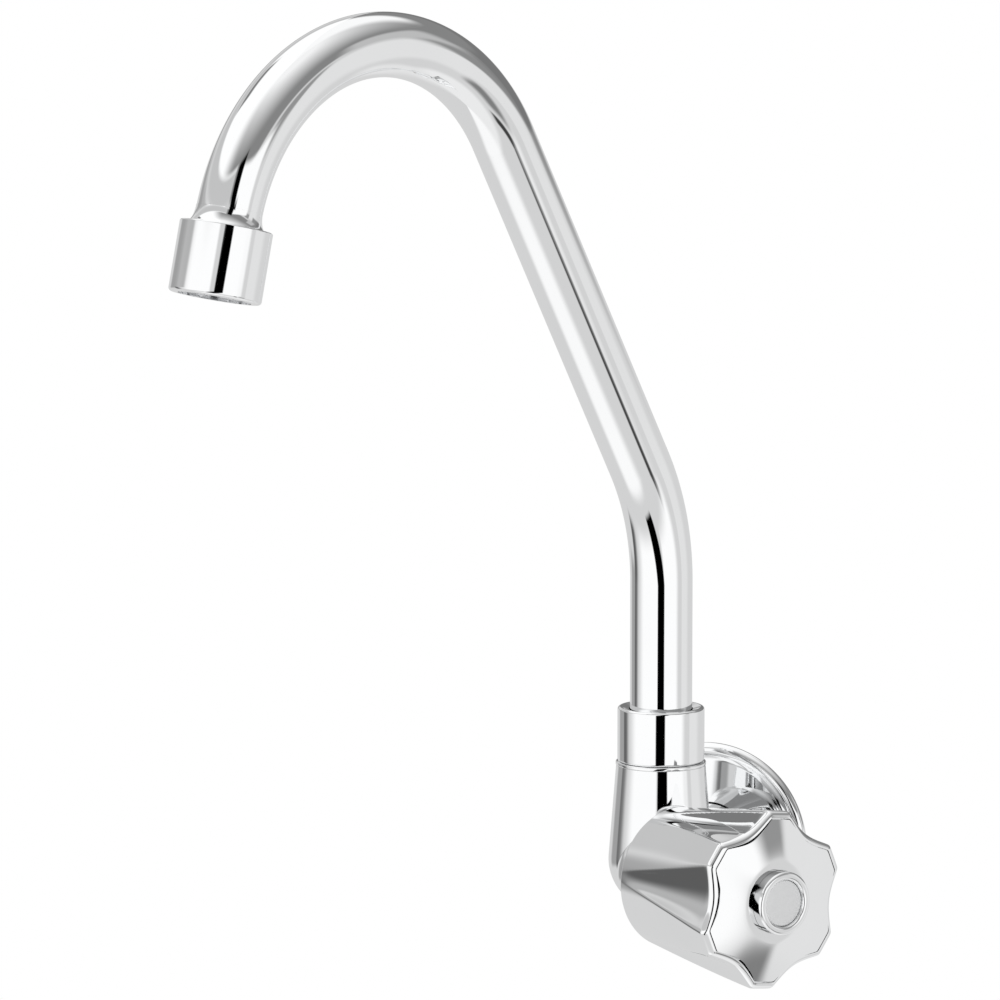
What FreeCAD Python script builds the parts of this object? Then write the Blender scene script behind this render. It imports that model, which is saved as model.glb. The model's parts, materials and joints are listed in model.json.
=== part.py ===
import FreeCAD, Part
import Sketcher
import math
import operator
import os

# Wall faucet with a swivelling gooseneck spout and a six-lobed handle.
# Origin: centre of the wall flange's back, on the inlet axis. The wall is the plane Y = 0,
# the room lies towards -Y, and +Z is up.

V = FreeCAD.Vector
doc = FreeCAD.newDocument("wall_faucet")
sheet = doc.addObject("Spreadsheet::Sheet", "dims")

DIMENSIONS = [
    # whole faucet
    ("wall_reach", 45.0, "wall to the spout's swivel axis"),
    ("valve_angle", 60.0, "degrees from the wall's normal to the valve axis"),
    ("valve_shift", 6.0, "valve axis beside the swivel axis"),
    ("spout_yaw", 21.0, "degrees that the spout is swung to the left at rest"),
    ("fit", 0.05, "clearance of running and screwed fits"),
    ("air", 0.3, "clearance between pieces that pass each other"),
    ("overrun", 1.0, "how far a cutting tool passes the surface"),
    # body casting
    ("ball_r", 15.1, "elbow under the neck"),
    ("ball_rise", 2.5, "elbow's centre above the valve axis"),
    ("neck_top_r", 12.85, "neck under the swivel nut"),
    ("neck_top", 31.3, "height of the neck's shoulder"),
    ("bead_h", 1.1, "bead under the nut"),
    ("bead_out", 0.25, "how far the bead stands proud of the neck"),
    ("spigot_r", 11.0, "threaded spigot inside the nut"),
    ("spigot_h", 8.7, "height of the spigot"),
    ("swivel_bore_r", 9.6, "bore that carries the spout's tail"),
    ("swivel_depth", 19.5, "depth of that bore from the spigot's top"),
    ("arm_r", 12.0, "inlet arm"),
    ("arm_gap", 2.2, "arm's end to the wall"),
    ("socket_r", 8.5, "socket for the nipple"),
    ("socket_depth", 11.0, "depth of the socket"),
    ("inlet_bore_r", 6.0, "water way in the arm"),
    ("barrel_r", 13.5, "valve barrel"),
    ("barrel_front", 24.0, "barrel's front face along the valve axis"),
    ("barrel_back", 6.0, "where the barrel reaches its full radius"),
    ("barrel_root_r", 10.0, "barrel where it leaves the elbow"),
    ("lower_chamber_r", 6.5, "chamber behind the seat"),
    ("lower_chamber_back", 5.0, "how far that chamber goes past the neck's axis"),
    ("upper_chamber_r", 10.5, "chamber in front of the seat"),
    ("port_r", 3.0, "slanted port up to the neck"),
    ("port_start", 16.0, "port's start along the valve axis"),
    ("port_rise", 4.0, "port's start above the valve axis"),
    # inlet nipple, seal and wall flange
    ("nipple_r", 10.48, "half inch pipe thread, crest radius"),
    ("nipple_out", 14.0, "thread that goes into the wall"),
    ("nipple_bore_r", 5.5, "bore of the nipple"),
    ("thread_pitch", 1.814, "pitch of the pipe thread"),
    ("thread_depth", 1.16, "depth of the pipe thread"),
    ("seal_t", 1.0, "inlet seal thickness"),
    ("seal_r", 9.9, "inlet seal, outside"),
    ("flange_r", 30.0, "wall flange, outer radius"),
    ("flange_h", 6.4, "wall flange, depth"),
    ("flange_wall", 1.4, "sheet of the wall flange"),
    ("flange_lip", 2.6, "width of the flange's rolled lip"),
    ("flange_dish", 1.3, "how far the flange's face lies behind its lip"),
    ("grip_ring_r", 0.8, "section radius of the flange's rubber ring"),
    # swivel nut and glide washer
    ("nut_r", 12.6, "swivel nut"),
    ("nut_h", 15.9, "height of the swivel nut"),
    ("nut_rim", 1.3, "width of the nut's top rim"),
    ("nut_recess", 0.6, "recess inside the top rim"),
    ("nut_lip", 2.2, "lip that holds the spout down"),
    ("nut_round", 0.7, "rounding of the nut's edges"),
    ("glide_t", 0.8, "glide washer thickness"),
    # spout
    ("tube_r", 9.0, "spout tube, outside"),
    ("tube_wall", 1.2, "spout tube, wall"),
    ("bend_z", 102.6, "height of the lower bend's corner above the valve axis"),
    ("slant", 30.1, "degrees of the slanted run from the vertical"),
    ("bend_r", 70.0, "lower bend, centre line"),
    ("slant_run", 131.1, "corner of the lower bend to the start of the gooseneck"),
    ("goose_r", 58.1, "gooseneck, centre line"),
    ("outlet_tilt", 13.8, "degrees that the outlet points outwards"),
    ("outlet_run", 21.2, "end of the gooseneck to the bottom of the aerator"),
    ("tail_flange_r", 10.6, "flange of the spout's tail"),
    ("tail_flange_t", 2.0, "thickness of that flange"),
    ("tail_bore_r", 6.4, "bore of the tail"),
    ("tail_spigot", 8.0, "how far the tail reaches into the tube"),
    ("tail_ring_r", 0.9, "section radius of the tail's rings"),
    ("ring_step", 6.0, "distance between the tail's rings"),
    # outlet
    ("aerator_r", 12.7, "aerator housing"),
    ("aerator_h", 19.6, "aerator housing, length"),
    ("aerator_top", 2.0, "wall at the housing's top"),
    ("aerator_edge", 0.4, "rounding of the top's edge"),
    ("aerator_round", 1.0, "rounding of the outlet's rim"),
    ("aerator_lip", 0.9, "lip that holds the insert"),
    ("aerator_bore_r", 10.9, "bore of the housing"),
    ("ferrule_h", 8.0, "threaded ferrule on the tube's end"),
    ("insert_h", 3.8, "aerator insert"),
    ("insert_hole_r", 0.75, "holes of the insert"),
    ("insert_hole_step", 2.1, "distance between the insert's rings of holes"),
    ("screen_t", 0.4, "screen thickness"),
    ("screen_hole", 1.0, "opening of the screen"),
    ("screen_wire", 0.45, "wire of the screen"),
    ("outlet_washer_t", 1.2, "washer thickness"),
    # valve works, along the valve axis
    ("seat_t", 4.0, "valve seat"),
    ("seat_r", 7.0, "valve seat, outside"),
    ("seat_bore_r", 4.5, "valve seat, bore"),
    ("seat_gap", 0.1, "closed washer to seat"),
    ("washer_r", 6.4, "seat washer"),
    ("washer_t", 2.8, "seat washer thickness"),
    ("jumper_r", 7.4, "jumper plate"),
    ("jumper_t", 2.0, "jumper plate thickness"),
    ("jumper_stem_r", 3.0, "jumper stem"),
    ("jumper_stem", 14.5, "jumper stem length"),
    ("lift", 4.5, "travel of the jumper"),
    ("washer_screw_r", 1.4, "screw in the jumper"),
    ("bonnet_skirt", 8.0, "threaded skirt inside the barrel"),
    ("bonnet_hex_r", 12.6, "bonnet hexagon, across corners, as a radius"),
    ("bonnet_hex_h", 5.4, "bonnet hexagon, height"),
    ("bonnet_neck_r", 8.2, "bonnet neck"),
    ("bonnet_neck_h", 10.0, "bonnet neck, height"),
    ("bonnet_top", 4.0, "wall at the bonnet's top"),
    ("gasket_t", 0.8, "bonnet gasket"),
    ("spindle_r", 5.95, "spindle inside the bonnet"),
    ("shaft_r", 4.0, "spindle above the bonnet"),
    ("clip_t", 1.0, "spindle clip"),
    ("clip_r", 5.6, "spindle clip, outside"),
    ("clip_groove", 0.6, "depth of the clip's groove"),
    ("spindle_ring_r", 0.8, "section radius of the spindle's ring"),
    # handle
    ("handle_back", 14.5, "skirt's back edge along the valve axis"),
    ("handle_back_r", 20.4, "skirt at its back edge"),
    ("handle_front", 58.8, "front rim along the valve axis"),
    ("handle_clock", -7.0, "degrees that the closed handle stands from lobe up"),
    ("lobe_r", 25.5, "lobe tips"),
    ("lobe_flat", 3.7, "half the width of a lobe's flat tip"),
    ("scallop_r", 22.0, "bottom of the scallops between the lobes"),
    ("rim_roll", 1.4, "rolled front rim"),
    ("rim_line", 0.5, "fine line inside the rim"),
    ("face_dome", 2.5, "rise of the handle's face to the button"),
    ("skirt_edge", 0.8, "rounding of the skirt's back edge"),
    ("cavity_r", 17.6, "hollow of the handle"),
    ("face_wall", 4.8, "wall behind the handle's face"),
    ("hub_r", 9.0, "hub inside the handle"),
    ("hub_h", 10.0, "length of the hub"),
    ("insert_r", 6.5, "splined insert"),
    ("screw_head_r", 3.6, "handle screw, head"),
    ("screw_head_h", 2.2, "handle screw, head height"),
    ("screw_r", 1.9, "handle screw, shank"),
    ("screw_run", 9.0, "handle screw, shank in the spindle"),
    ("screw_seat", 1.6, "web under the handle screw's head"),
    ("button_r", 9.1, "ring round the button"),
    ("button_sink", 3.0, "how deep the button sits in the face"),
    ("button_proud", 3.4, "how far the ring stands above the face"),
    ("button_disc_r", 6.6, "button disc"),
    ("button_drop", 0.8, "disc below the ring's top"),
    ("button_round", 0.9, "rounding of the ring"),
]


class Size:
    """A length with its value and the sheet expression that it comes from."""

    def __init__(self, value, text):
        self.value = value
        self.text = text

    def __add__(self, other):
        return joined(self, operator.add, "+", other)

    def __radd__(self, other):
        return joined(other, operator.add, "+", self)

    def __sub__(self, other):
        return joined(self, operator.sub, "-", other)

    def __rsub__(self, other):
        return joined(other, operator.sub, "-", self)

    def __mul__(self, other):
        return joined(self, operator.mul, "*", other)

    def __rmul__(self, other):
        return joined(other, operator.mul, "*", self)

    def __truediv__(self, other):
        return joined(self, operator.truediv, "/", other)

    def __neg__(self):
        return joined(0, operator.sub, "-", self)


def value_of(item):
    return item.value if isinstance(item, Size) else item


def text_of(item):
    return item.text if isinstance(item, Size) else repr(item)


def joined(left, work, sign, right):
    text = "(" + text_of(left) + " " + sign + " " + text_of(right) + ")"
    return Size(work(value_of(left), value_of(right)), text)


class Sizes:
    """The sheet's cells by their aliases."""


dim = Sizes()
for row, (alias, value, note) in enumerate(DIMENSIONS, start=1):
    sheet.set("A%d" % row, note)
    sheet.set("B%d" % row, str(value))
    sheet.setAlias("B%d" % row, alias)
    setattr(dim, alias, Size(value, "dims." + alias))
doc.recompute()

made = []


def keep(piece, label, placement):
    """Gives a finished sub-part its name and its place."""
    piece.Label = label
    piece.Placement = placement
    made.append(piece)
    return piece


def bind(piece, name, size):
    """Ties a property of a piece to the sheet."""
    piece.setExpression(name, size.text)


def outline(sketch, points):
    """Draws a closed outline whose corners are tied to the sheet, as (across, up) sizes."""
    flat = [V(value_of(across), value_of(up), 0) for across, up in points]
    for start, end in zip(flat, flat[1:] + flat[:1]):
        sketch.addGeometry(Part.LineSegment(start, end))
    for i in range(len(flat)):
        sketch.addConstraint(Sketcher.Constraint("Coincident", i - 1 if i else len(flat) - 1, 2, i, 1))
    for i, corner in enumerate(points):
        for kind, size, axis in zip(("DistanceX", "DistanceY"), corner, (-2, -1)):
            if isinstance(size, Size):
                at = sketch.addConstraint(Sketcher.Constraint(kind, -1, 1, i, 1, size.value))
                sketch.setExpression("Constraints[%d]" % at, size.text)
            else:
                sketch.addConstraint(Sketcher.Constraint("PointOnObject", i, 1, axis))


def plane(body, role):
    return [f for f in body.Origin.OriginFeatures if f.Role == role][0]


def turned(name, points):
    """A body turned on a lathe about its own Z axis from an outline of (radius, height) corners."""
    body = doc.addObject("PartDesign::Body", name)
    sketch = body.newObject("Sketcher::SketchObject", name + "_outline")
    sketch.AttachmentSupport = [(plane(body, "XZ_Plane"), "")]
    sketch.MapMode = "FlatFace"
    outline(sketch, points)
    turn = body.newObject("PartDesign::Revolution", name + "_turn")
    turn.Profile = sketch
    turn.ReferenceAxis = (sketch, ["V_Axis"])
    turn.Angle = 360
    body.Tip = turn
    doc.recompute()
    return body


def ring_edges(body, rings):
    """Names of the circular edges with the given (radius, height)."""
    names = []
    for i, edge in enumerate(body.Tip.Shape.Edges, start=1):
        if not isinstance(edge.Curve, Part.Circle):
            continue
        for radius, height in rings:
            near_r = abs(edge.Curve.Radius - value_of(radius)) < value_of(dim.fit) / 2
            near_z = abs(edge.Curve.Center.z - value_of(height)) < value_of(dim.fit) / 2
            if near_r and near_z:
                names.append("Edge%d" % i)
    return names


def rounded(body, rings, radius):
    """Rounds the circular edges of a turned body."""
    edges = (body.Tip, ring_edges(body, rings))
    fillet = body.newObject("PartDesign::Fillet", body.Name + "_round")
    fillet.Base = edges
    bind(fillet, "Radius", radius)
    body.Tip = fillet
    doc.recompute()


def tube_points(inner, outer, low, high):
    return [(inner, low), (outer, low), (outer, high), (inner, high)]


def rod(name, radius, height, placement):
    """A plain cylinder, for booleans."""
    piece = doc.addObject("Part::Cylinder", name)
    bind(piece, "Radius", radius)
    bind(piece, "Height", height)
    piece.Placement = placement
    return piece


def o_ring(name, ring_radius, section):
    piece = doc.addObject("Part::Torus", name)
    bind(piece, "Radius1", ring_radius)
    bind(piece, "Radius2", section)
    return piece


def moved(placement, along):
    """The placement, shifted along its own Z axis."""
    return placement.multiply(FreeCAD.Placement(V(0, 0, value_of(along)), FreeCAD.Rotation()))


def turned_frame(across, up, along, base):
    """A placement whose local X, Y and Z axes are the three directions."""
    return FreeCAD.Placement(base, FreeCAD.Rotation(across, up, along, "ZXY"))


# Frames of the four axes: inlet, neck, valve and outlet
UP = V(0, 0, 1)
NOWHERE = FreeCAD.Placement()
axis_foot = V(0, -dim.wall_reach.value, 0)
valve_turn = math.radians(dim.valve_angle.value)
valve_dir = V(math.sin(valve_turn), -math.cos(valve_turn), 0)
valve_side = V(math.cos(valve_turn), math.sin(valve_turn), 0)
valve_foot = axis_foot - valve_side * dim.valve_shift.value
valve = turned_frame(UP, valve_dir.cross(UP), valve_dir, valve_foot)
inlet = turned_frame(V(1, 0, 0), UP, V(0, -1, 0), V(0, 0, 0))
neck = FreeCAD.Placement(axis_foot, FreeCAD.Rotation())

# Heights and places that several pieces share
spigot_top = dim.neck_top + dim.spigot_h
nut_top = dim.neck_top + dim.nut_h
seat_back = dim.barrel_back
seat_face = seat_back + dim.seat_t
bonnet_low = dim.barrel_front - dim.bonnet_skirt
hex_low = dim.barrel_front + dim.gasket_t
hex_top = hex_low + dim.bonnet_hex_h
bonnet_end = hex_top + dim.bonnet_neck_h
face_hub = dim.handle_front + dim.face_dome
web_back = dim.handle_front - dim.face_wall
button_floor = face_hub - dim.button_sink
insert_low = web_back - dim.hub_h
spindle_top = web_back - dim.fit
head_low = web_back + dim.screw_seat
head_top = head_low + dim.screw_head_h

# Body casting: neck, elbow, inlet arm and valve barrel in one piece, with its water ways
ball = doc.addObject("Part::Sphere", "elbow")
bind(ball, "Radius", dim.ball_r)
ball.Placement = moved(neck, dim.ball_rise)
neck_cone = doc.addObject("Part::Cone", "neck_cone")
bind(neck_cone, "Radius1", dim.ball_r)
bind(neck_cone, "Radius2", dim.neck_top_r)
bind(neck_cone, "Height", dim.neck_top - dim.ball_rise)
neck_cone.Placement = moved(neck, dim.ball_rise)
bead = rod("neck_bead", dim.neck_top_r + dim.bead_out, dim.bead_h, moved(neck, dim.neck_top - dim.bead_h))
spigot = rod("neck_spigot", dim.spigot_r, dim.spigot_h, moved(neck, dim.neck_top))
arm = rod("inlet_arm", dim.arm_r, dim.wall_reach - dim.arm_gap, moved(inlet, dim.arm_gap))
barrel_root = doc.addObject("Part::Cone", "barrel_root")
bind(barrel_root, "Radius1", dim.barrel_root_r)
bind(barrel_root, "Radius2", dim.barrel_r)
bind(barrel_root, "Height", dim.barrel_back)
barrel_root.Placement = valve
barrel = rod("valve_barrel", dim.barrel_r, dim.barrel_front - dim.barrel_back, moved(valve, dim.barrel_back))
solid = doc.addObject("Part::MultiFuse", "casting_solid")
solid.Shapes = [ball, neck_cone, bead, spigot, arm, barrel_root, barrel]

socket = rod("nipple_socket", dim.socket_r, dim.socket_depth + dim.overrun,
             moved(inlet, dim.arm_gap - dim.overrun))
inlet_way = rod("inlet_way", dim.inlet_bore_r, dim.wall_reach - dim.arm_gap, moved(inlet, dim.arm_gap))
lower = rod("lower_chamber", dim.lower_chamber_r, dim.lower_chamber_back + seat_back + dim.overrun,
            moved(valve, -dim.lower_chamber_back))
seat_hole = rod("seat_hole", dim.seat_r, dim.seat_t + dim.overrun, moved(valve, seat_back))
upper = rod("upper_chamber", dim.upper_chamber_r, dim.barrel_front - seat_face + dim.overrun,
            moved(valve, seat_face))
swivel_bore = rod("swivel_bore", dim.swivel_bore_r, dim.swivel_depth + dim.overrun,
                  moved(neck, spigot_top - dim.swivel_depth))
port_low = valve.multVec(V(dim.port_rise.value, 0, dim.port_start.value))
port_high = axis_foot + UP * (spigot_top - dim.swivel_depth + dim.overrun).value
port_way = port_high - port_low
port = doc.addObject("Part::Cylinder", "outlet_port")
bind(port, "Radius", dim.port_r)
port.Height = port_way.Length
port.Placement = FreeCAD.Placement(port_low, FreeCAD.Rotation(UP, port_way))
ways = doc.addObject("Part::MultiFuse", "water_ways")
ways.Shapes = [socket, inlet_way, lower, seat_hole, upper, swivel_bore, port]
casting = doc.addObject("Part::Cut", "casting")
casting.Base = solid
casting.Tool = ways
keep(casting, "body_casting", NOWHERE)

# Inlet nipple: pipe thread outside, plain shank in the arm's socket
thread_low = -dim.nipple_out
thread_top = dim.arm_gap - dim.seal_t
turns = int((thread_top - thread_low).value / dim.thread_pitch.value)
ridge = (thread_top - thread_low) / turns
flank_share = 0.375
nipple_points = [(dim.nipple_bore_r, thread_low)]
for turn in range(turns):
    crest = thread_low + ridge * turn
    nipple_points.append((dim.nipple_r - dim.thread_depth, crest))
    nipple_points.append((dim.nipple_r, crest + ridge * flank_share))
    nipple_points.append((dim.nipple_r, crest + ridge * (1 - flank_share)))
nipple_points.append((dim.nipple_r - dim.thread_depth, thread_top))
nipple_points.append((dim.socket_r - dim.fit, thread_top))
nipple_points.append((dim.socket_r - dim.fit, dim.arm_gap + dim.socket_depth - dim.fit))
nipple_points.append((dim.nipple_bore_r, dim.arm_gap + dim.socket_depth - dim.fit))
keep(turned("nipple", nipple_points), "inlet_nipple", inlet)
keep(turned("seal", tube_points(dim.socket_r, dim.seal_r, thread_top, dim.arm_gap)), "inlet_seal", inlet)

# Wall flange: a dished sheet with a rolled lip, open at the back, and the ring that grips the arm
hole_r = dim.arm_r + dim.air
face = dim.flange_h - dim.flange_dish
groove_r = dim.arm_r + 2 * dim.grip_ring_r + dim.fit
groove_top = dim.arm_gap + 2 * dim.grip_ring_r + dim.fit
boss_r = groove_r + dim.flange_wall
lip_side = (dim.flange_r, dim.flange_h - dim.flange_lip / 2)
lip_front = (dim.flange_r - dim.flange_lip / 2, dim.flange_h)
flange_points = [
    (groove_r, dim.arm_gap), (boss_r, dim.arm_gap), (boss_r, face - dim.flange_wall),
    (dim.flange_r - dim.flange_lip - dim.flange_wall, face - dim.flange_wall),
    (dim.flange_r - dim.flange_wall, dim.flange_h - dim.flange_lip),
    (dim.flange_r - dim.flange_wall, 0), (dim.flange_r, 0), lip_side,
    lip_front, (dim.flange_r - dim.flange_lip, dim.flange_h),
    (dim.flange_r - dim.flange_lip - dim.flange_dish, face), (hole_r, face),
    (hole_r, groove_top), (groove_r, groove_top),
]
flange = turned("flange", flange_points)
rounded(flange, [lip_side, lip_front], dim.flange_lip / 4)
keep(flange, "wall_flange", inlet)
grip = o_ring("grip", dim.arm_r + dim.grip_ring_r + dim.fit / 2, dim.grip_ring_r)
keep(grip, "flange_grip_ring", moved(inlet, dim.arm_gap + dim.grip_ring_r + dim.fit / 2))

# Swivel nut, screwed on the neck's spigot, with the glide washer under its lip
recess = nut_top - dim.nut_recess
lip_low = recess - dim.nut_lip
nut = turned("nut", [
    (dim.spigot_r + dim.fit, dim.neck_top), (dim.nut_r, dim.neck_top), (dim.nut_r, nut_top),
    (dim.nut_r - dim.nut_rim, nut_top), (dim.nut_r - dim.nut_rim, recess), (dim.tube_r + dim.air, recess),
    (dim.tube_r + dim.air, lip_low), (dim.spigot_r + dim.fit, lip_low),
])
rounded(nut, [(dim.nut_r, nut_top), (dim.nut_r, dim.neck_top)], dim.nut_round)
keep(nut, "swivel_nut", neck)
keep(turned("glide", tube_points(dim.tube_r + dim.air, dim.tail_flange_r, lip_low - dim.glide_t, lip_low)),
     "glide_washer", neck)

# Spout: tail piece in the neck, tube, and the ferrule that carries the aerator
yaw = math.radians(dim.spout_yaw.value)
spout_dir = V(-math.sin(yaw), -math.cos(yaw), 0)
slant = math.radians(dim.slant.value)
tilt = math.radians(dim.outlet_tilt.value)
tail_top = lip_low - dim.glide_t - dim.air
tail_seat = tail_top - dim.tail_flange_t
tail_low = spigot_top - dim.swivel_depth + dim.air


def in_plane(reach, height):
    """A point of the spout's plane."""
    return axis_foot + spout_dir * reach + UP * height


trim = dim.bend_r.value * math.tan(slant / 2)
run = dim.slant_run.value
goose_start = (run * math.sin(slant), dim.bend_z.value + run * math.cos(slant))
goose_r = dim.goose_r.value
goose_mid = (goose_start[0] + goose_r * math.cos(slant), goose_start[1] - goose_r * math.sin(slant))


def on_goose(angle):
    """A point of the gooseneck's centre line."""
    return (goose_mid[0] + goose_r * math.cos(angle), goose_mid[1] + goose_r * math.sin(angle))


def down_outlet(length):
    """A point past the gooseneck's end, along the outlet's axis."""
    end = on_goose(tilt)
    return (end[0] + length.value * math.sin(tilt), end[1] - length.value * math.cos(tilt))


outlet = down_outlet(dim.outlet_run)
tube_end_up = dim.aerator_lip + dim.screen_t + dim.insert_h + dim.outlet_washer_t + 3 * dim.fit
tube_end = down_outlet(dim.outlet_run - tube_end_up)

low = in_plane(0, tail_top.value)
bend_in = in_plane(0, dim.bend_z.value - trim)
bend_out = in_plane(trim * math.sin(slant), dim.bend_z.value + trim * math.cos(slant))
bend_mid = in_plane(dim.bend_r.value * (1 - math.cos(slant / 2)),
                    dim.bend_z.value - trim + dim.bend_r.value * math.sin(slant / 2))
arc_from = in_plane(*goose_start)
arc_mid = in_plane(*on_goose((tilt + math.pi - slant) / 2))
arc_to = in_plane(*on_goose(tilt))
tip = in_plane(*tube_end)
route = Part.Wire([
    Part.LineSegment(low, bend_in).toShape(),
    Part.Arc(bend_in, bend_mid, bend_out).toShape(),
    Part.LineSegment(bend_out, arc_from).toShape(),
    Part.Arc(arc_from, arc_mid, arc_to).toShape(),
    Part.LineSegment(arc_to, tip).toShape(),
])


def swept(radius):
    """A round rod along the spout's route."""
    section = Part.Wire([Part.Circle(low, UP, radius).toShape()])
    return route.makePipeShell([section], True, False)


tube = doc.addObject("Part::Feature", "tube")
tube.Shape = swept(dim.tube_r.value).cut(swept((dim.tube_r - dim.tube_wall).value))
keep(tube, "spout_tube", NOWHERE)
section_area = math.pi * (dim.tube_r.value ** 2 - (dim.tube_r - dim.tube_wall).value ** 2)
print("spout tube volume over section times length:", tube.Shape.Volume / (section_area * route.Length))

spout_frame = turned_frame(spout_dir, UP.cross(spout_dir), UP, axis_foot)
tail_r = dim.swivel_bore_r - dim.fit
tail_spigot_r = dim.tube_r - dim.tube_wall - dim.fit
groove = tail_r - 2 * dim.tail_ring_r
ring_a = tail_low + dim.ring_step / 2
ring_b = ring_a + dim.ring_step
tail_points = [(dim.tail_bore_r, tail_low), (tail_r, tail_low)]
for middle in (ring_a, ring_b):
    tail_points += [
        (tail_r, middle - dim.tail_ring_r), (groove, middle - dim.tail_ring_r),
        (groove, middle + dim.tail_ring_r), (tail_r, middle + dim.tail_ring_r),
    ]
tail_points += [
    (tail_r, tail_seat), (dim.tail_flange_r, tail_seat), (dim.tail_flange_r, tail_top),
    (tail_spigot_r, tail_top), (tail_spigot_r, tail_top + dim.tail_spigot),
    (dim.tail_bore_r, tail_top + dim.tail_spigot),
]
keep(turned("tail", tail_points), "spout_tail", spout_frame)
for name, middle in (("tail_ring_lower", ring_a), ("tail_ring_upper", ring_b)):
    ring = o_ring(name, tail_r - dim.tail_ring_r, dim.tail_ring_r - dim.fit / 2)
    keep(ring, name, moved(spout_frame, middle))

# Outlet: ferrule, washer, insert, screen and housing, on the axis of the tube's end
outlet_up = (in_plane(*tube_end) - in_plane(*outlet)).normalize()
outlet_side = spout_dir.cross(UP)
outlet_frame = turned_frame(outlet_side, outlet_up.cross(outlet_side), outlet_up, in_plane(*outlet))
screen_low = dim.aerator_lip + dim.fit
insert_base = screen_low + dim.screen_t
insert_top = insert_base + dim.insert_h
washer_top = insert_top + dim.outlet_washer_t
bore_end = dim.aerator_h - dim.aerator_top
collar_r = dim.tube_r + dim.fit
thread_r = dim.aerator_bore_r - dim.fit
housing = turned("housing", [
    (dim.aerator_bore_r - dim.aerator_lip, 0), (dim.aerator_r, 0), (dim.aerator_r, dim.aerator_h),
    (collar_r, dim.aerator_h), (collar_r, bore_end),
    (dim.aerator_bore_r, bore_end), (dim.aerator_bore_r, dim.aerator_lip),
    (dim.aerator_bore_r - dim.aerator_lip, dim.aerator_lip),
])
rounded(housing, [(dim.aerator_r, 0)], dim.aerator_round)
rounded(housing, [(dim.aerator_r, dim.aerator_h)], dim.aerator_edge)
keep(housing, "aerator_housing", outlet_frame)
ferrule_low = washer_top + dim.fit
keep(turned("ferrule", tube_points(collar_r, thread_r, ferrule_low, ferrule_low + dim.ferrule_h)),
     "spout_ferrule", outlet_frame)
keep(turned("outlet_washer", tube_points(dim.tail_bore_r, thread_r, insert_top, washer_top)),
     "aerator_washer", outlet_frame)

insert_plate = Part.makeCylinder(thread_r.value, dim.insert_h.value, V(0, 0, insert_base.value))
holes = []
hole_length = dim.insert_h + 2 * dim.overrun
rings = int((thread_r - dim.insert_hole_step).value / dim.insert_hole_step.value)
for ring_number in range(rings + 1):
    count = max(1, 6 * ring_number)
    for k in range(count):
        angle = 2 * math.pi * k / count
        out = ring_number * dim.insert_hole_step.value
        spot = V(out * math.cos(angle), out * math.sin(angle), (insert_base - dim.overrun).value)
        holes.append(Part.makeCylinder(dim.insert_hole_r.value, hole_length.value, spot))
insert = doc.addObject("Part::Feature", "insert")
insert.Shape = insert_plate.cut(Part.makeCompound(holes))
keep(insert, "aerator_insert", outlet_frame)

screen_plate = Part.makeCylinder(thread_r.value, dim.screen_t.value, V(0, 0, screen_low.value))
step = (dim.screen_hole + dim.screen_wire).value
reach = thread_r.value - 2 * step
cells = []
across = int(reach / step)
for i in range(-across, across + 1):
    for k in range(-across, across + 1):
        if math.hypot(i, k) * step < reach:
            low_corner = V(i * step - dim.screen_hole.value / 2, k * step - dim.screen_hole.value / 2,
                           (screen_low - dim.overrun).value)
            cells.append(Part.makeBox(dim.screen_hole.value, dim.screen_hole.value,
                                      (dim.screen_t + 2 * dim.overrun).value, low_corner))
screen = doc.addObject("Part::Feature", "screen")
screen.Shape = screen_plate.cut(Part.makeCompound(cells))
keep(screen, "aerator_screen", outlet_frame)

# Valve works, all on the valve axis: seat, bonnet, gasket, spindle, jumper
keep(turned("seat", tube_points(dim.seat_bore_r, dim.seat_r - dim.fit, seat_back, seat_face)),
     "valve_seat", valve)
gasket_r = dim.barrel_r - dim.flange_wall
keep(turned("gasket", tube_points(dim.upper_chamber_r, gasket_r, dim.barrel_front, hex_low)),
     "bonnet_gasket", valve)
guide_r = dim.jumper_r + dim.air
skirt_r = dim.upper_chamber_r - dim.fit
bore_r = dim.spindle_r + dim.fit
shaft_bore = dim.shaft_r + dim.fit
bore_top = bonnet_end - dim.bonnet_top
bonnet_turn = turned("bonnet_turn", [
    (guide_r, bonnet_low), (skirt_r, bonnet_low), (skirt_r, hex_low),
    (dim.bonnet_neck_r, hex_low), (dim.bonnet_neck_r, bonnet_end), (shaft_bore, bonnet_end),
    (shaft_bore, bore_top), (bore_r, bore_top), (bore_r, hex_low), (guide_r, hex_low),
])
hexagon = doc.addObject("Part::Prism", "bonnet_hexagon")
hexagon.Polygon = 6
bind(hexagon, "Circumradius", dim.bonnet_hex_r)
bind(hexagon, "Height", dim.bonnet_hex_h)
hexagon.Placement = moved(NOWHERE, hex_low)
hex_hole = rod("bonnet_hex_hole", dim.bonnet_neck_r - dim.fit, dim.bonnet_hex_h + 2 * dim.overrun,
               moved(NOWHERE, hex_low - dim.overrun))
hex_ring = doc.addObject("Part::Cut", "bonnet_hex_ring")
hex_ring.Base = hexagon
hex_ring.Tool = hex_hole
bonnet = doc.addObject("Part::Fuse", "bonnet")
bonnet.Base = bonnet_turn
bonnet.Tool = hex_ring
keep(bonnet, "bonnet", valve)

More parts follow.
